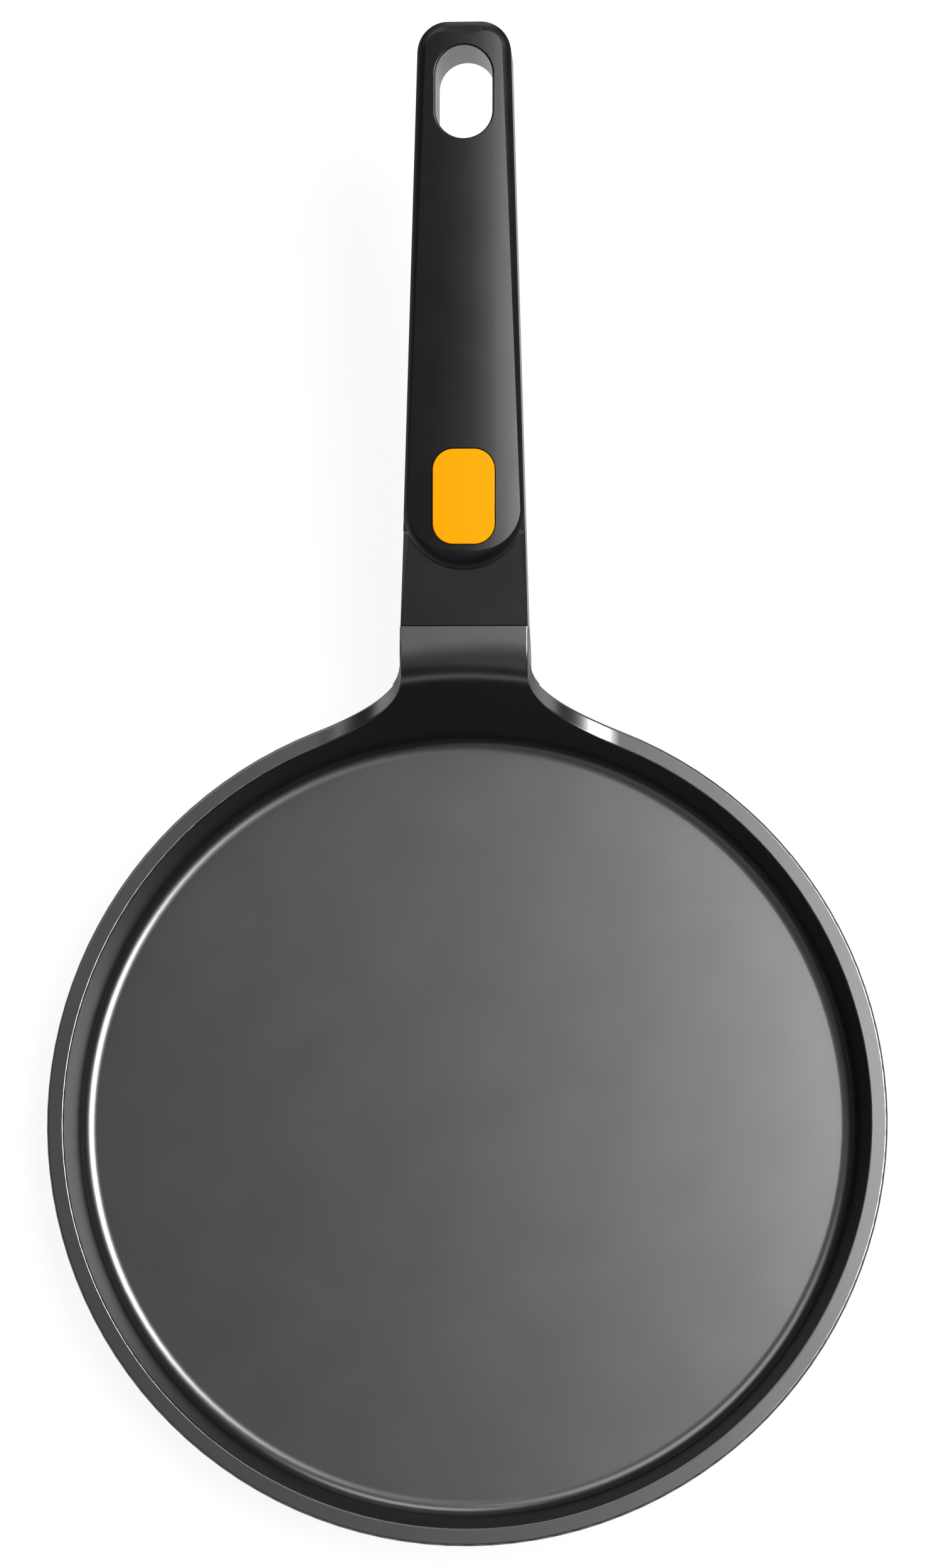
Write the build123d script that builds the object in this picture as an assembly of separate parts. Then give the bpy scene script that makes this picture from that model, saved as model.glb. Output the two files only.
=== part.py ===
from build123d import *
import math
import os

# Crepe pan with a fixed handle. Millimetres, Z up, Y along the handle.
# The origin is the centre of the underside, on the surface that the pan stands on.

# Cast dish
rim_radius = 120.0
rim_height = 19.5
wall_width = 5.0
wall_angle = 75.0
floor_thickness = 4.8
dish_corner_radius = 4.6
rim_edge_radius = 0.8
inner_edge_radius = 0.6
foot_corner_radius = 7.0
foot_lift = 0.3

# Neck of the casting, which rises out of the rim
neck_rise = 28.5
neck_width = 36.6
neck_crest_radius = 13.0
flare_top_room = 2.5
web_radius = 2.8
seam_reach = 15.5
neck_root_height = 7.0
neck_belly_sag = 3.0
pocket_wall = 4.5
pocket_rib = 4.0
pocket_depth = 14.0
pocket_corner_radius = 2.0

# Perforated steel disc in the underside
disc_border = 15.9
disc_thickness = 1.8
disc_clearance = 0.15
disc_first_ring_radius = 32.0
disc_ring_spacing = 24.0
disc_rim_room = 7.0
disc_first_holes = 6
disc_more_holes = 6
disc_hole_radius = 3.0
plug_clearance = 0.15
plug_shortfall = 0.3

# Handle moulding. Its own axes are X across, Y along and Z square to its top, from the seam.
handle_angle = 10.7
handle_length = 171.5
handle_inset = 0.2
handle_tip_width = 26.2
handle_tip_radius = 8.7
front_thickness = 21.0
waist_hollow = 1.5
tip_thickness = 19.6
belly_edge_radius = 4.0
seam_chamfer = 0.3
grip_height = 3.0
crown_sag = 1.9
grip_lip = 0.4
nose_start = 15.9
nose_radius = 17.3
nose_round_run = 6.0
bevel_length = 27.0
bevel_width = 1.5

# Hanging slot
slot_width = 16.2
slot_length = 26.4
slot_back = 20.1
slot_edge_radius = 0.5

# Thumb pad inlay
pad_width = 18.2
pad_length = 27.6
pad_corner_radius = 6.2
pad_centre = 36.6
pad_gap = 0.3
pad_thickness = 2.2
pad_edge_radius = 0.3
stud_radius = 2.0
stud_length = 3.0
stud_spacing = 14.0
stud_clearance = 0.1

# Tang of the casting inside the handle
tang_width = 20.0
tang_thickness = 8.0
tang_length = 62.0
tang_top = 4.3
tang_corner_radius = 4.0
tang_clearance = 0.2
tang_end_room = 1.5

# Fastening from below
screw_back = 18.0
screw_radius = 3.0
screw_head_radius = 5.4
screw_head_height = 2.6
screw_head_round = 1.0
screw_end_room = 1.2
drive_width = 1.3
drive_span = 5.6
drive_depth = 1.6
thread_clearance = 0.1
insert_radius = 4.6
insert_collar_radius = 5.6
insert_collar_height = 1.0
insert_clearance = 0.05
washer_radius = 5.2
washer_thickness = 1.2
washer_bore_clearance = 0.3
washer_slit = 1.0
counterbore_radius = 6.2
screw_seat_wall = 2.6
screw_hole_clearance = 0.3

# How far cuts run past their solids, and how near its line an edge must lie to be picked
overrun = 5.0
pick_room = 0.2

# Worked out
wall_lean = 1 / math.tan(math.radians(wall_angle))
seam_distance = rim_radius + seam_reach
floor_height = foot_lift + floor_thickness
plateau_height = rim_height + neck_rise
flare_radius = neck_rise - flare_top_room
inner_rim_radius = rim_radius - wall_width
neck_half = neck_width / 2
front_half = neck_half - handle_inset
recess_depth = disc_thickness - foot_lift
disc_radius = rim_radius - (rim_height - foot_lift) * wall_lean - foot_corner_radius - disc_border
disc_rings = 1 + int((disc_radius - disc_rim_room - disc_first_ring_radius) / disc_ring_spacing)
seam = Plane(
    origin=(0, seam_distance, plateau_height),
    x_dir=(1, 0, 0),
    z_dir=(0, -math.sin(math.radians(handle_angle)), math.cos(math.radians(handle_angle))),
)
crown_radius = (front_half**2 + crown_sag**2) / (2 * crown_sag)
nose_centre = nose_start + nose_radius
nose_round_radius = (nose_round_run**2 + grip_height**2) / (2 * grip_height)
tang_bottom = tang_top + tang_thickness
screw_place = tang_length - screw_back
seat_height = -(tang_bottom + tang_clearance + screw_seat_wall)
pad_floor = grip_height - pad_thickness
slot_centre = handle_length - slot_back


def lean_radius(radius, height):
    """Radius of a wall face at a height above the rim, from its radius at the rim."""
    return radius + (height - rim_height) * wall_lean


def wall_outside():
    """The outside of the wall as a leaning solid, up to the height of the neck."""
    foot = lean_radius(rim_radius, foot_lift)
    top = lean_radius(rim_radius, plateau_height)
    outline = make_face(Polyline(
        (0, foot_lift), (foot, foot_lift), (top, plateau_height), (0, plateau_height), close=True))
    corner = outline.vertices().sort_by(lambda v: (v.X - foot)**2 + (v.Y - foot_lift)**2)[0]
    outline = fillet(corner, foot_corner_radius)
    return revolve(Plane.XZ * outline, Axis.Z)


def dish_space():
    """The air over the cooking surface: dish, leaning wall and the crest of the neck."""
    crest_rise = neck_crest_radius * (1 - math.cos(math.radians(wall_angle)))
    crest_run = neck_crest_radius * math.sin(math.radians(wall_angle))
    wall_top = plateau_height - crest_rise
    wall_end = lean_radius(inner_rim_radius, wall_top)
    half_turn = math.radians(wall_angle) / 2
    crest_middle = (
        wall_end + crest_run - neck_crest_radius * math.sin(half_turn),
        plateau_height - neck_crest_radius * (1 - math.cos(half_turn)),
    )
    crest_end = (wall_end + crest_run, plateau_height)
    far = seam_distance + front_thickness
    high = plateau_height + overrun
    corner = lean_radius(inner_rim_radius, floor_height)
    outline = make_face([
        Line((0, floor_height), (corner, floor_height)),
        Line((corner, floor_height), (wall_end, wall_top)),
        ThreePointArc((wall_end, wall_top), crest_middle, crest_end),
        Polyline(crest_end, (far, plateau_height), (far, high), (0, high), (0, floor_height)),
    ])
    bend = outline.vertices().sort_by(lambda v: (v.X - corner)**2 + (v.Y - floor_height)**2)[0]
    outline = fillet(bend, dish_corner_radius)
    return revolve(Plane.XZ * outline, Axis.Z)


def below_rim_line():
    """All that may stand: below the rim plane, or below the flare where the rim climbs to the neck."""
    reach = seam_distance + front_thickness
    slab = Pos(0, 0, rim_height / 2) * Box(2 * reach, 2 * reach, rim_height)
    foot = neck_half + flare_radius
    bend = flare_radius * (1 - math.sqrt(1 / 2))
    crest = rim_height + flare_radius
    outline = make_face([
        Polyline((foot, rim_height), (foot, 0), (-foot, 0), (-foot, rim_height)),
        ThreePointArc((-foot, rim_height), (-neck_half - bend, rim_height + bend), (-neck_half, crest)),
        Polyline(
            (-neck_half, crest), (-neck_half, plateau_height),
            (neck_half, plateau_height), (neck_half, crest)),
        ThreePointArc((neck_half, crest), (neck_half + bend, rim_height + bend), (foot, rim_height)),
    ])
    flare = Pos(0, reach, 0) * extrude(Plane.XZ * outline, amount=reach / 2)
    return slab + flare


def neck_block():
    """The neck outside the wall, from its root to the seam with the handle."""
    low = seam.from_local_coords(Vector(0, 0, -front_thickness))
    root = lean_radius(rim_radius, neck_root_height) - wall_width / 2
    belly_top = (low.Y, low.Z)
    belly_middle = (
        (low.Y + root) / 2 + neck_belly_sag,
        (low.Z + neck_root_height) / 2 - neck_belly_sag,
    )
    outline = make_face([
        Polyline(
            (root, neck_root_height), (root, plateau_height),
            (seam_distance, plateau_height), belly_top),
        ThreePointArc(belly_top, belly_middle, (root, neck_root_height)),
    ])
    block = extrude(Plane.YZ * outline, amount=neck_half, both=True)
    long_edges = block.edges().filter_by(lambda e: e.geom_type == GeomType.CIRCLE)
    return fillet(long_edges, belly_edge_radius)


def neck_with_webs():
    """The neck and the wall behind it, with rounded webs in the corners between the two."""
    def is_web(edge):
        beside = abs(abs((edge @ 0.5).X) - neck_half) < pick_room
        return beside and edge.geom_type == GeomType.HYPERBOLA

    joined = wall_outside() + neck_block()
    joined = fillet(joined.edges().filter_by(is_web), web_radius)
    reach = seam_distance + front_thickness
    column = Box(
        neck_width + 2 * web_radius, reach, 2 * plateau_height,
        align=(Align.CENTER, Align.MIN, Align.CENTER))
    return joined & column & below_rim_line()


def neck_pockets():
    """Two cored pockets in the underside of the neck, beside a middle rib."""
    top = rim_height + pocket_depth
    inner = lean_radius(inner_rim_radius, top) + pocket_wall
    depth = seam_distance - pocket_wall - inner
    span = neck_half - pocket_wall - pocket_rib / 2
    middle = pocket_rib / 2 + span / 2
    outline = RectangleRounded(span, depth, pocket_corner_radius)
    places = [Pos(side * middle, inner + depth / 2, 0) for side in (-1, 1)]
    return [extrude(place * outline, amount=top) for place in places]


def tang():
    """The tongue that the handle is pushed over, in the handle's axes."""
    outline = Pos(0, tang_length / 2 - overrun / 2) * Rectangle(tang_width, tang_length + overrun)
    outline = fillet(outline.vertices().group_by(Axis.Y)[-1], tang_corner_radius)
    bar = Pos(0, 0, -tang_bottom) * extrude(outline, amount=tang_thickness)
    hole = Pos(0, screw_place, -tang_bottom) * insert_envelope(insert_clearance)
    return bar - hole


def insert_envelope(clearance):
    """Outside of the threaded insert, standing on the underside of the tang."""
    sleeve = Cylinder(
        insert_radius + clearance, tang_thickness,
        align=(Align.CENTER, Align.CENTER, Align.MIN))
    collar = Cylinder(
        insert_collar_radius + clearance, insert_collar_height + clearance,
        align=(Align.CENTER, Align.CENTER, Align.MIN))
    return sleeve + collar


def disc_hole_places():
    """Centres of the holes in the steel disc, ring by ring."""
    places = []
    for ring in range(disc_rings):
        radius = disc_first_ring_radius + ring * disc_ring_spacing
        count = disc_first_holes + ring * disc_more_holes
        places += [
            Rot(0, 0, 360 / count * step) * Pos(radius, 0, 0)
            for step in range(count)
        ]
    return places


def make_induction_base():
    """The perforated disc, flush with the surface that the pan stands on."""
    hole = Circle(disc_hole_radius)
    outline = Circle(disc_radius) - [place * hole for place in disc_hole_places()]
    return extrude(outline, amount=disc_thickness)


def rim_line(body):
    """Outer edges of the rim and of its flares."""
    def is_rim(edge):
        middle = edge @ 0.5
        reach = math.hypot(middle.X, middle.Y)
        outside = abs(reach - lean_radius(rim_radius, middle.Z)) < pick_room
        return outside and middle.Z > rim_height - pick_room and edge.length > neck_rise

    return body.edges().filter_by(is_rim)


def beside_dish():
    """All that may stand, less the dish. Its inner edge is rounded from the rim up to the seam."""
    def is_inner(edge):
        middle = edge @ 0.5
        reach = math.hypot(middle.X, middle.Y)
        return abs(reach - inner_rim_radius) < pick_room and abs(middle.Z - rim_height) < pick_room

    form = below_rim_line() - dish_space()
    return fillet(form.edges().filter_by(is_inner), inner_edge_radius)


def make_pan_body():
    """Dish, rim, neck and tang as one casting."""
    body = wall_outside() & below_rim_line()
    body = fillet(rim_line(body), rim_edge_radius)
    body = (body + neck_with_webs()) & beside_dish()
    body = body + seam.location * tang()
    for pocket in neck_pockets():
        body = body - pocket
    recess = Pos(0, 0, foot_lift) * extrude(Circle(disc_radius + disc_clearance), amount=recess_depth)
    body = body - recess
    plug_height = disc_thickness - plug_shortfall
    plug = extrude(Circle(disc_hole_radius - plug_clearance), amount=plug_height)
    plugs = [Pos(0, 0, plug_shortfall) * place * plug for place in disc_hole_places()]
    return body + plugs


def side_at(place):
    """Half width of the handle at a place along it."""
    return front_half - (front_half - handle_tip_width / 2) * place / handle_length


def handle_outline():
    """Plan of the handle in its own axes."""
    tip = side_at(handle_length)
    outline = make_face(Polyline(
        (-front_half, 0), (front_half, 0), (tip, handle_length), (-tip, handle_length), close=True))
    return fillet(outline.vertices().group_by(Axis.Y)[-1], handle_tip_radius)


def handle_lower():
    """The handle up to its flat top, with the hollow of its belly."""
    deep = front_thickness + tip_thickness
    block = Pos(0, 0, -deep) * extrude(handle_outline(), amount=deep)
    waist = handle_length / 2
    waist_thickness = (front_thickness + tip_thickness) / 2 - waist_hollow
    side = make_face([
        ThreePointArc((0, -front_thickness), (waist, -waist_thickness), (handle_length, -tip_thickness)),
        Polyline(
            (handle_length, -tip_thickness), (handle_length + overrun, -tip_thickness),
            (handle_length + overrun, 0), (0, 0), (0, -front_thickness)),
    ])
    keep = extrude(Plane.YZ * side, amount=neck_width, both=True)
    lower = block & keep
    rim = lower.faces().sort_by(Axis.Z)[0].edges()
    rim = rim.filter_by(lambda e: e.center().Y > pick_room)
    lower = fillet(rim, belly_edge_radius)
    front = lower.faces().sort_by(Axis.Y)[0].edges().sort_by(Axis.Z)[-1]
    return chamfer(front, seam_chamfer)


def crown_bar():
    """The crowned bar that the top of the grip and the pad are cut from."""
    centre = grip_height - crown_radius
    bar = Pos(0, handle_length / 2, centre) * Rot(90, 0, 0) * Cylinder(crown_radius, handle_length + overrun)
    return bar


def cushion_form():
    """Rounding of the grip: a bar a little larger than the handle, with its top edge turned down."""
    grow = nose_round_radius - nose_round_run
    margin = grow + grip_lip
    far = handle_length + grip_height
    root = side_at(nose_centre) + margin
    tip = side_at(far) + margin
    plan = make_face([
        ThreePointArc((-root, nose_centre), (0, nose_start - grow), (root, nose_centre)),
        Polyline((root, nose_centre), (tip, far), (-tip, far), (-root, nose_centre)),
    ])
    plan = fillet(plan.vertices().group_by(Axis.Y)[-1], handle_tip_radius + margin)
    deep = 2 * nose_round_radius
    bar = Pos(0, 0, grip_height - deep) * extrude(plan, amount=deep)
    return fillet(bar.faces().sort_by(Axis.Z)[-1].edges(), nose_round_radius)


def bevel_wedges():
    """The slivers that the side bevels take off the front, from nothing at the seam."""
    edge = side_at(bevel_length)
    section = Plane.XZ * make_face(Polyline(
        (edge - bevel_width, 0), (edge + bevel_width, bevel_width),
        (edge + bevel_width, -bevel_width * 2), close=True))
    wedge = loft([Vertex(front_half, 0, 0), (Pos(0, bevel_length, 0) * section).face()])
    return [wedge, mirror(wedge, Plane.YZ)]


def socket():
    """The space for the tang, open at the seam."""
    width = tang_width + 2 * tang_clearance
    length = tang_length + tang_end_room
    outline = Pos(0, (length - overrun) / 2) * Rectangle(width, length + overrun)
    outline = fillet(outline.vertices().group_by(Axis.Y)[-1], tang_corner_radius)
    floor = -(tang_bottom + tang_clearance)
    return Pos(0, 0, floor) * extrude(outline, amount=tang_thickness + 2 * tang_clearance)


def screw_passage():
    """Hole and counterbore for the screw, from the belly up into the socket."""
    top = Cylinder(
        screw_radius + screw_hole_clearance, screw_seat_wall + overrun,
        align=(Align.CENTER, Align.CENTER, Align.MIN))
    sink = Cylinder(counterbore_radius, front_thickness, align=(Align.CENTER, Align.CENTER, Align.MAX))
    return Pos(0, screw_place, seat_height) * (top + sink)


def hanging_slot():
    """The slot right through the handle near its tip."""
    outline = Pos(0, slot_centre) * Rot(0, 0, 90) * SlotOverall(slot_length, slot_width)
    deep = front_thickness + overrun
    return Pos(0, 0, -deep) * extrude(outline, amount=deep + grip_height + overrun)


def pad_outline(inset):
    """Plan of the pad recess, drawn in by an inset."""
    return Pos(0, pad_centre) * RectangleRounded(
        pad_width - 2 * inset, pad_length - 2 * inset, pad_corner_radius - inset)


def stud_places():
    """Centres of the two studs under the thumb pad."""
    return [Pos(0, pad_centre + side * stud_spacing / 2, pad_floor) for side in (-1, 1)]


def make_thumb_pad():
    """Soft inlay that follows the crown of the grip, with two studs below."""
    pad = Pos(0, 0, pad_floor) * extrude(pad_outline(pad_gap), amount=pad_thickness + overrun)
    pad = pad & crown_bar()
    rim = pad.faces().sort_by(Axis.Z)[-1].edges()
    pad = fillet(rim, pad_edge_radius)
    stud = Cylinder(stud_radius, stud_length, align=(Align.CENTER, Align.CENTER, Align.MAX))
    return pad + [place * stud for place in stud_places()]


def slot_lips(grip):
    """Edges of the hanging slot, above and below."""
    reach = slot_length / 2 + slot_edge_radius

    def is_lip(edge):
        middle = edge @ 0.5
        level = abs((edge @ 0).Z - (edge @ 1).Z) < grip_height
        inside = abs(middle.X) < (slot_width + slot_edge_radius) / 2
        return level and inside and abs(middle.Y - slot_centre) < reach

    return grip.edges().filter_by(is_lip)


def make_handle_grip():
    """Handle moulding with its slot, socket, pad recess and screw seat, in its own axes."""
    top = Pos(0, 0, -overrun) * extrude(handle_outline(), amount=overrun + 2 * grip_height)
    top = top & crown_bar() & cushion_form()
    grip = handle_lower() - bevel_wedges() + top
    grip = grip - hanging_slot()
    grip = fillet(slot_lips(grip), slot_edge_radius)
    grip = grip - socket() - screw_passage()
    recess = Pos(0, 0, pad_floor) * extrude(pad_outline(0), amount=pad_thickness + overrun)
    grip = grip - recess
    hole = Cylinder(
        stud_radius + stud_clearance, stud_length + stud_clearance,
        align=(Align.CENTER, Align.CENTER, Align.MAX))
    return grip - [place * hole for place in stud_places()]


def make_handle_screw():
    """Screw from below, head down, in the handle's axes."""
    under_head = seat_height - washer_thickness
    length = -under_head - tang_top - screw_end_room
    shank = Cylinder(screw_radius, length, align=(Align.CENTER, Align.CENTER, Align.MIN))
    head = Cylinder(screw_head_radius, screw_head_height, align=(Align.CENTER, Align.CENTER, Align.MAX))
    head = fillet(head.edges().sort_by(Axis.Z)[0], screw_head_round)
    slot = Pos(0, 0, -screw_head_height) * Box(
        drive_span, drive_width, drive_depth, align=(Align.CENTER, Align.CENTER, Align.MIN))
    screw = shank + head - slot - Rot(0, 0, 90) * slot
    return Pos(0, screw_place, under_head) * screw


def make_lock_washer():
    """Spring washer between the head and the counterbore, in the handle's axes."""
    ring = Circle(washer_radius) - Circle(screw_radius + washer_bore_clearance)
    ring = ring - Pos(0, washer_radius / 2) * Rectangle(washer_slit, washer_radius)
    return Pos(0, screw_place, seat_height - washer_thickness) * extrude(ring, amount=washer_thickness)


def make_threaded_insert():
    """Steel sleeve in the tang, in the handle's axes."""
    bore = Cylinder(
        screw_radius + thread_clearance, tang_thickness, align=(Align.CENTER, Align.CENTER, Align.MIN))
    return Pos(0, screw_place, -tang_bottom) * (insert_envelope(0) - bore)


def build():
    os.makedirs("parts", exist_ok=True)
    parts = {
        "pan_body": make_pan_body(),
        "induction_base": make_induction_base(),
        "handle_grip": seam.location * make_handle_grip(),
        "thumb_pad": seam.location * make_thumb_pad(),
        "handle_screw": seam.location * make_handle_screw(),
        "lock_washer": seam.location * make_lock_washer(),
        "threaded_insert": seam.location * make_threaded_insert(),
    }
    for name, part in parts.items():
        export_step(part, f"parts/{name}.step")


build()
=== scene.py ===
import math

import bpy
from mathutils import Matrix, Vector


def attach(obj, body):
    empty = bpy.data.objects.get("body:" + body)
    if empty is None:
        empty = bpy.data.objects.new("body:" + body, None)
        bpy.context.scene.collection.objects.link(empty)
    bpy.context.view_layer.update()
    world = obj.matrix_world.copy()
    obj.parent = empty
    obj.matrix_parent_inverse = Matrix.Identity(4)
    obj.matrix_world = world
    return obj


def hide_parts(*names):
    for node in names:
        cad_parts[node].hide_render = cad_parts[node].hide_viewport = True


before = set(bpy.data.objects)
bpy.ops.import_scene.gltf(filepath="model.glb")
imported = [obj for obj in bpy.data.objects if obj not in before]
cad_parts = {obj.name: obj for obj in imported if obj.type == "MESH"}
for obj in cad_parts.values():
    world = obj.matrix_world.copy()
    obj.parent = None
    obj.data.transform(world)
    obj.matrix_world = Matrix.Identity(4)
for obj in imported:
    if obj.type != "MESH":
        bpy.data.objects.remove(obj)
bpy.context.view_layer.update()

# Looks of a crepe pan: coated casting, black handle, soft thumb pad and steel base.
# Metres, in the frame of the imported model. Y runs along the handle and Z up.
mm = 0.001

# Camera, above the dish and a little to the right of it
camera_place = (46.91 * mm, -76.73 * mm, 897.49 * mm)
camera_turn_degrees = (11.11, 2.985, 0.59)
focal_length = 70.84
sensor_side = 36.0

# Lamps, by how far they lean from straight up towards X and Y, and how tall and wide they look
lamp_distance = 2400 * mm
key_way_degrees = (28.5, 7.5)
key_spread_degrees = (27.0, 37.0)
key_strength = 11.2
back_way_degrees = (13.5, 69.9)
back_spread_degrees = (18.0, 24.0)
back_strength = 2.5
side_way_degrees = (-31.9, 39.6)
side_spread_degrees = (26.0, 36.0)
side_strength = 1.7
front_way_degrees = (-36.3, -43.2)
front_spread_degrees = (24.0, 60.0)
front_strength = 0.21

# Room light, between two heights of the sky, each the sine of an angle above the horizon
sky_heights = (0.5, 0.9)
sky_strengths = (0.024, 0.19)

# Floor, a little below the pan, and how far its own light lifts it towards white
floor_side = 200000 * mm
floor_drop = 0.05 * mm
floor_tone = 0.12
floor_roughness = 0.9
floor_lift = 0.91

# The stretch of a noise value that a finish uses
noise_range = (0.3, 0.7)

# Coating. A patch is a stretch of other roughness or tone, and a pair of values is a range
coating_patch = 18 * mm
coating_roughness = (0.295, 0.306)
coating_tone = (0.2, 0.204)
coating_edge_tone = 0.36
coating_grain = 0.45 * mm
coating_depth = 0.001 * mm

# Plastic of the handle
plastic_patch = 12 * mm
plastic_roughness = (0.33, 0.36)
plastic_tone = 0.002
plastic_ior = 1.52
plastic_grain = 0.35 * mm
plastic_depth = 0.002 * mm

# Silicone of the thumb pad
silicone_patch = 5 * mm
silicone_roughness = (0.58, 0.64)
silicone_colour = (0.97, 0.385, 0.0015)
silicone_shine = 0.05
silicone_grain = 0.25 * mm
silicone_depth = 0.004 * mm

# Steel of the base and of the fastening
steel_patch = 3 * mm
base_roughness = (0.26, 0.36)
base_tone = (0.56, 0.6)
turned_ring_pitch = 2.2 * mm
turned_ring_waver = 1.5
turned_ring_depth = 0.004 * mm
fastener_roughness = (0.28, 0.42)
fastener_tone = (0.52, 0.56)
plating_grain = 0.2 * mm
plating_depth = 0.002 * mm

# How strongly large faces lead the shading of the handle, where 50 is evenly
large_face_weight = 100

# Exact surfaces of the casting, which its shading follows
rim_radius = 120 * mm
rim_height = 19.5 * mm
wall_width = 5 * mm
wall_angle_degrees = 75.0
cooking_height = 5.1 * mm
dish_corner_radius = 4.6 * mm
foot_lift = 0.3 * mm
foot_corner_radius = 7 * mm
plateau_height = 48 * mm
crest_radius = 13 * mm
neck_half = 18.3 * mm
flare_radius = 26 * mm
inner_edge_radius = 0.6 * mm
outer_edge_radius = 0.8 * mm

# How near a face lies to its exact surface, and how far their normals part at most
surface_slack = 0.005 * mm
facet_turn_degrees = 60.0

# Worked out
wall_side = math.sin(math.radians(wall_angle_degrees))
wall_up = math.cos(math.radians(wall_angle_degrees))
inner_rim_radius = rim_radius - wall_width
facet_share = math.cos(math.radians(facet_turn_degrees))


def new_material(name):
    """A material with only its output and a Principled shader. Returns also its tree and shader."""
    material = bpy.data.materials.new(name)
    material.use_nodes = True
    tree = material.node_tree
    tree.nodes.clear()
    output = tree.nodes.new("ShaderNodeOutputMaterial")
    shader = tree.nodes.new("ShaderNodeBsdfPrincipled")
    tree.links.new(shader.outputs["BSDF"], output.inputs["Surface"])
    return material, tree, shader


def mapped(tree, source, given, wanted):
    """Maps a value from a given range to a wanted one, and holds it at both ends."""
    ramp = tree.nodes.new("ShaderNodeMapRange")
    ramp.inputs["From Min"].default_value = given[0]
    ramp.inputs["From Max"].default_value = given[1]
    ramp.inputs["To Min"].default_value = wanted[0]
    ramp.inputs["To Max"].default_value = wanted[1]
    tree.links.new(source, ramp.inputs["Value"])
    return ramp.outputs["Result"]


def largest(tree, first, second):
    """The larger one of two values."""
    node = tree.nodes.new("ShaderNodeMath")
    node.operation = "MAXIMUM"
    tree.links.new(first, node.inputs[0])
    tree.links.new(second, node.inputs[1])
    return node.outputs["Value"]


def object_noise(tree, grain):
    """Noise in the object's own space, whose features are about one grain across."""
    coordinates = tree.nodes.new("ShaderNodeTexCoord")
    noise = tree.nodes.new("ShaderNodeTexNoise")
    noise.inputs["Scale"].default_value = 1 / grain
    tree.links.new(coordinates.outputs["Object"], noise.inputs["Vector"])
    return noise.outputs["Fac"]


def vary_roughness(tree, shader, noise, roughness):
    """Lets the roughness wander through a range with a noise."""
    tree.links.new(mapped(tree, noise, noise_range, roughness), shader.inputs["Roughness"])


def vary_tone(tree, shader, noise, tones):
    """Lets a grey base colour wander through a range with a noise."""
    tone = mapped(tree, noise, noise_range, tones)
    grey = tree.nodes.new("ShaderNodeCombineColor")
    for channel in ("Red", "Green", "Blue"):
        tree.links.new(tone, grey.inputs[channel])
    tree.links.new(grey.outputs["Color"], shader.inputs["Base Color"])


def bump(tree, shader, source, depth):
    """Raises and sinks the surface with a value, for its shading only."""
    node = tree.nodes.new("ShaderNodeBump")
    node.inputs["Distance"].default_value = depth
    tree.links.new(source, node.inputs["Height"])
    tree.links.new(node.outputs["Normal"], shader.inputs["Normal"])


def coating():
    """Smooth dark non-stick coating with fine metal flake, whose shine grows little when seen aslant."""
    material, tree, shader = new_material("pan_coating")
    shader.inputs["Metallic"].default_value = 1.0
    shader.inputs["Specular Tint"].default_value = (coating_edge_tone,) * 3 + (1,)
    wide = object_noise(tree, coating_patch)
    vary_roughness(tree, shader, wide, coating_roughness)
    vary_tone(tree, shader, wide, coating_tone)
    bump(tree, shader, object_noise(tree, coating_grain), coating_depth)
    return material


def plastic():
    """Black moulded plastic with a fine satin grain."""
    material, tree, shader = new_material("handle_plastic")
    shader.inputs["Base Color"].default_value = (plastic_tone,) * 3 + (1,)
    shader.inputs["IOR"].default_value = plastic_ior
    vary_roughness(tree, shader, object_noise(tree, plastic_patch), plastic_roughness)
    bump(tree, shader, object_noise(tree, plastic_grain), plastic_depth)
    return material


def silicone():
    """Matte orange silicone of the thumb pad."""
    material, tree, shader = new_material("pad_rubber")
    shader.inputs["Base Color"].default_value = silicone_colour + (1,)
    shader.inputs["Specular IOR Level"].default_value = silicone_shine
    vary_roughness(tree, shader, object_noise(tree, silicone_patch), silicone_roughness)
    bump(tree, shader, object_noise(tree, silicone_grain), silicone_depth)
    return material


def steel(name, tones, roughness):
    """Steel with patches of a duller surface. Returns also its tree and shader."""
    material, tree, shader = new_material(name)
    shader.inputs["Metallic"].default_value = 1.0
    wide = object_noise(tree, steel_patch)
    vary_roughness(tree, shader, wide, roughness)
    vary_tone(tree, shader, wide, tones)
    return material, tree, shader


def turned_steel():
    """Stainless sheet of the base, with the fine rings that turning leaves."""
    material, tree, shader = steel("base_steel", base_tone, base_roughness)
    coordinates = tree.nodes.new("ShaderNodeTexCoord")
    rings = tree.nodes.new("ShaderNodeTexWave")
    rings.wave_type = "RINGS"
    rings.rings_direction = "Z"
    rings.inputs["Scale"].default_value = 1 / turned_ring_pitch
    rings.inputs["Distortion"].default_value = turned_ring_waver
    tree.links.new(coordinates.outputs["Object"], rings.inputs["Vector"])
    bump(tree, shader, rings.outputs["Fac"], turned_ring_depth)
    return material


def plated_steel():
    """Plated steel of the fastening, with a faint grain."""
    material, tree, shader = steel("fastener_steel", fastener_tone, fastener_roughness)
    bump(tree, shader, object_noise(tree, plating_grain), plating_depth)
    return material


def dress(node, material):
    """Gives a carried-over piece its material."""
    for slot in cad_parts[node].material_slots:
        slot.material = material


def even_shading(node):
    """Lets large faces lead the shading of a carried-over piece."""
    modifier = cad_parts[node].modifiers.new("even_shading", "WEIGHTED_NORMAL")
    modifier.mode = "FACE_AREA"
    modifier.weight = large_face_weight
    modifier.keep_sharp = True


# Each exact surface is a function that takes a point, and gives its distance out of the metal
# and the normal there.


def flat(way, offset):
    """A plane, by its way out of the metal and how far out it lies."""
    normal = Vector(way)
    return lambda point: (point.dot(normal) - offset, normal)


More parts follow.
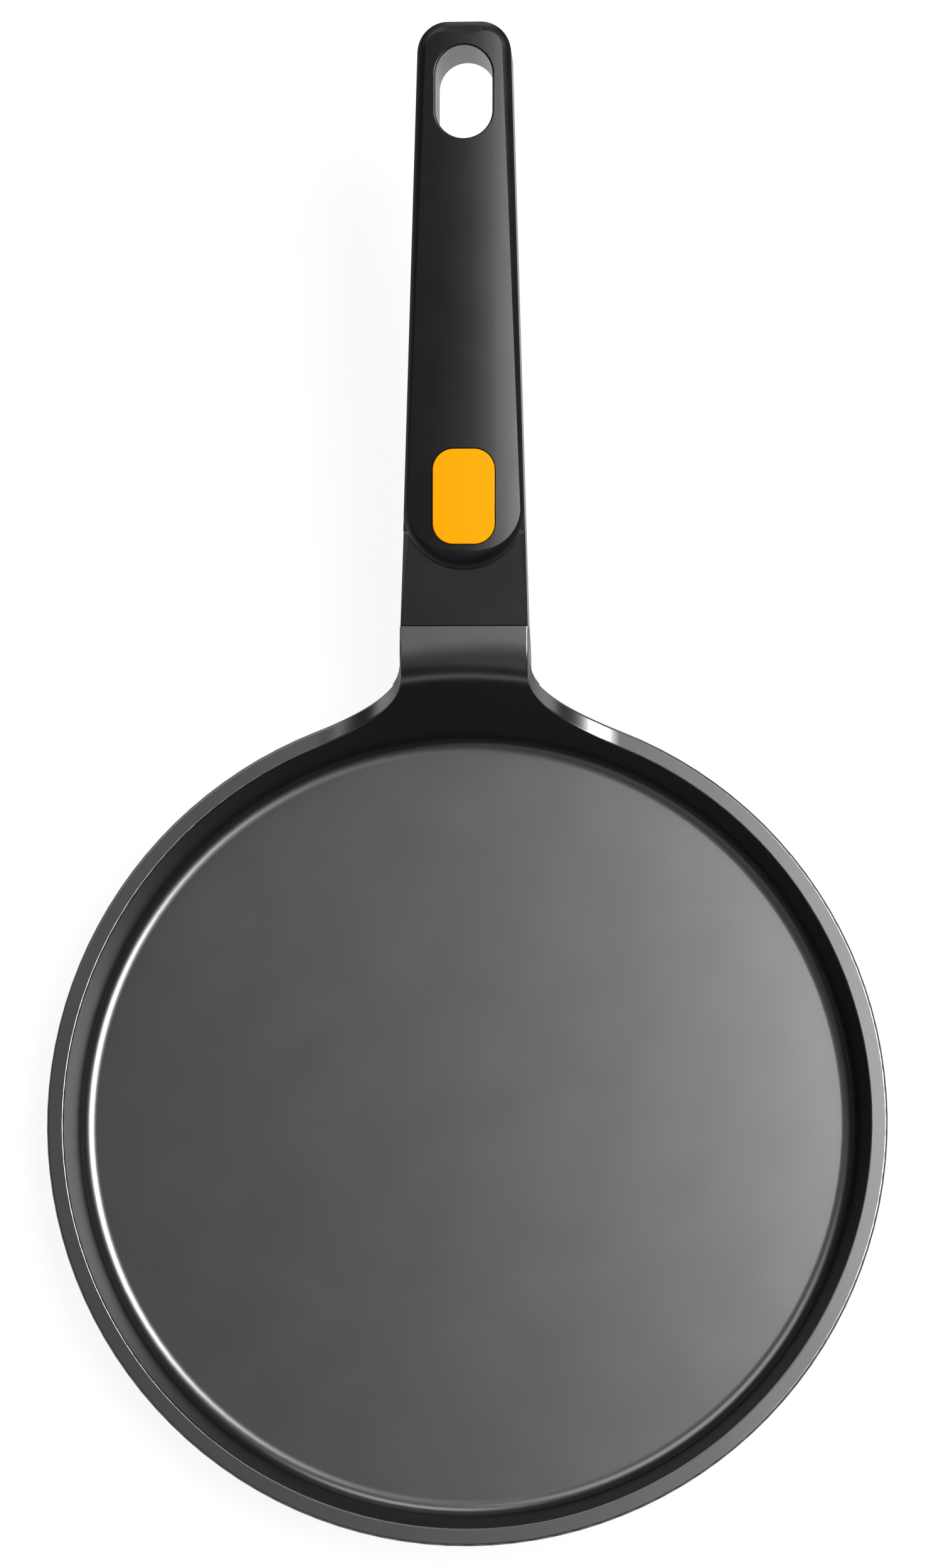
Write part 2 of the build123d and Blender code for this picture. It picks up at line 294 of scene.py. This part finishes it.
def wall_reach(radius, height):
    """Radius of a wall face at a height, from its radius at the rim."""
    return radius + (height - rim_height) * wall_up / wall_side


def leaning(radius, side):
    """A wall face, by its radius at the rim. Side is 1 outside and -1 in the dish."""
    def measure(point):
        reach = point.xy.length
        gap = (reach - wall_reach(radius, point.z)) * wall_side * side
        level = wall_side / reach
        return gap, Vector((point.x * level, point.y * level, -wall_up)) * side
    return measure


def ring(wall_radius, height, radius, shift, side):
    """A round all the way about Z that runs into a wall face.

    Shift is 1 where its middle lies beyond the face and -1 where it lies nearer to Z.
    Side is -1 where it is hollow.
    """
    middle = wall_reach(wall_radius, height) + shift * radius / wall_side

    def measure(point):
        reach = point.xy.length
        out = reach - middle
        up = point.z - height
        away = math.hypot(out, up)
        normal = Vector((point.x * out / reach, point.y * out / reach, up)) * side / away
        return (away - radius) * side, normal
    return measure


def trough(middle, height, radius):
    """A hollow round along Y, by the middle of its section."""
    def measure(point):
        out = point.x - middle
        up = point.z - height
        away = math.hypot(out, up)
        return radius - away, Vector((-out / away, 0, -up / away))
    return measure


def rounded(first, second, radius):
    """A small round between two surfaces, where a point's depths under them give the turn."""
    def measure(point):
        first_gap, first_normal = first(point)
        second_gap, second_normal = second(point)
        first_turn = math.acos(min(max(1 + first_gap / radius, -1), 1))
        second_turn = math.acos(min(max(1 + second_gap / radius, -1), 1))
        turn = first_turn + second_turn
        # A point that lies under neither surface is off the round
        if turn == 0:
            return radius, first_normal
        gap = (turn - first_normal.angle(second_normal)) * radius
        return gap, first_normal.slerp(second_normal, first_turn / turn, first_normal)
    return measure


def casting_surfaces():
    """The exact surfaces of the casting that show, the large ones first."""
    rim = flat((0, 0, 1), rim_height)
    plateau = flat((0, 0, 1), plateau_height)
    cooking = flat((0, 0, 1), cooking_height)
    sides = [flat((side, 0, 0), neck_half) for side in (-1, 1)]
    middle = neck_half + flare_radius
    flares = [trough(side * middle, rim_height + flare_radius, flare_radius) for side in (-1, 1)]
    inside = leaning(inner_rim_radius, -1)
    outside = leaning(rim_radius, 1)
    crest = ring(inner_rim_radius, plateau_height - crest_radius, crest_radius, 1, 1)
    corner = ring(inner_rim_radius, cooking_height + dish_corner_radius, dish_corner_radius, -1, -1)
    foot = ring(rim_radius, foot_lift + foot_corner_radius, foot_corner_radius, -1, 1)
    found = [cooking, rim, plateau, inside, outside, corner, foot, crest] + sides + flares
    for top in [rim, plateau] + sides + flares:
        found += [rounded(top, inner, inner_edge_radius) for inner in (inside, crest)]
    found += [rounded(top, outside, outer_edge_radius) for top in [rim] + flares]
    return found


def exact_normals(surfaces, points, facing):
    """Normals of the first surface that all points of a face lie on, or none."""
    for measure in surfaces:
        normals = []
        for point in points:
            gap, normal = measure(point)
            if abs(gap) > surface_slack or normal.dot(facing) < facet_share:
                break
            normals.append(normal)
        if len(normals) == len(points):
            return normals
    return []


def make_casting(material):
    """The casting again, with its shading taken from its exact surfaces and not from its facets."""
    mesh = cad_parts["pan_body"].data.copy()
    normals = [Vector(corner.vector) for corner in mesh.corner_normals]
    surfaces = casting_surfaces()
    for face in mesh.polygons:
        points = [mesh.vertices[index].co for index in face.vertices]
        for index, normal in zip(face.loop_indices, exact_normals(surfaces, points, face.normal)):
            normals[index] = normal
    mesh.normals_split_custom_set(normals)
    mesh.materials.clear()
    mesh.materials.append(material)
    casting = bpy.data.objects.new("coated_casting", mesh)
    bpy.context.scene.collection.objects.link(casting)
    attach(casting, "root")
    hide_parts("pan_body")


def make_floor():
    """Floor that the pan stands on, white where nothing shades it, as seen and as reflected."""
    bpy.ops.mesh.primitive_plane_add(size=floor_side, location=(0, 0, -floor_drop))
    floor = bpy.context.object
    floor.name = "floor"
    material, tree, shader = new_material("floor_paper")
    shader.inputs["Base Color"].default_value = (floor_tone,) * 3 + (1,)
    shader.inputs["Roughness"].default_value = floor_roughness
    shader.inputs["Specular IOR Level"].default_value = 0.0
    rays = tree.nodes.new("ShaderNodeLightPath")
    seen = largest(tree, rays.outputs["Is Camera Ray"], rays.outputs["Is Glossy Ray"])
    shown = largest(tree, seen, rays.outputs["Is Transmission Ray"])
    lift = mapped(tree, shown, (0, 1), (0, floor_lift))
    tree.links.new(lift, shader.inputs["Emission Strength"])
    floor.data.materials.append(material)


def make_world():
    """Soft room light, dim at the horizon and a little brighter overhead."""
    world = bpy.data.worlds.new("studio")
    bpy.context.scene.world = world
    world.use_nodes = True
    tree = world.node_tree
    tree.nodes.clear()
    output = tree.nodes.new("ShaderNodeOutputWorld")
    background = tree.nodes.new("ShaderNodeBackground")
    coordinates = tree.nodes.new("ShaderNodeTexCoord")
    way = tree.nodes.new("ShaderNodeSeparateXYZ")
    tree.links.new(coordinates.outputs["Generated"], way.inputs["Vector"])
    strength = mapped(tree, way.outputs["Z"], sky_heights, sky_strengths)
    tree.links.new(strength, background.inputs["Strength"])
    tree.links.new(background.outputs["Background"], output.inputs["Surface"])


def make_panel(name, way_degrees, spread_degrees, brightness):
    """A soft lamp that faces the pan and isn't seen itself."""
    lean_x, lean_y = (math.tan(math.radians(angle)) for angle in way_degrees)
    way = Vector((lean_x, lean_y, 1)).normalized()
    tall, wide = (2 * lamp_distance * math.tan(math.radians(angle) / 2) for angle in spread_degrees)
    data = bpy.data.lights.new(name, "AREA")
    data.shape = "RECTANGLE"
    data.size = wide
    data.size_y = tall
    data.energy = brightness * math.pi * tall * wide
    lamp = bpy.data.objects.new(name, data)
    bpy.context.scene.collection.objects.link(lamp)
    lamp.location = way * lamp_distance
    lamp.rotation_euler = way.to_track_quat("Z", "Y").to_euler()
    lamp.visible_camera = False


def make_camera():
    """Camera at the place that the photograph was taken from."""
    data = bpy.data.cameras.new("camera")
    data.lens = focal_length
    data.sensor_width = sensor_side
    camera = bpy.data.objects.new("camera", data)
    bpy.context.scene.collection.objects.link(camera)
    camera.location = camera_place
    camera.rotation_euler = [math.radians(angle) for angle in camera_turn_degrees]
    bpy.context.scene.camera = camera


make_camera()
make_floor()
make_world()
make_panel("key_lamp", key_way_degrees, key_spread_degrees, key_strength)
make_panel("back_lamp", back_way_degrees, back_spread_degrees, back_strength)
make_panel("side_lamp", side_way_degrees, side_spread_degrees, side_strength)
make_panel("front_lamp", front_way_degrees, front_spread_degrees, front_strength)
make_casting(coating())
dress("handle_grip", plastic())
even_shading("handle_grip")
dress("thumb_pad", silicone())
dress("induction_base", turned_steel())
fastener = plated_steel()
for node in ("handle_screw", "lock_washer", "threaded_insert"):
    dress(node, fastener)

bpy.context.scene.view_settings.view_transform = "Standard"
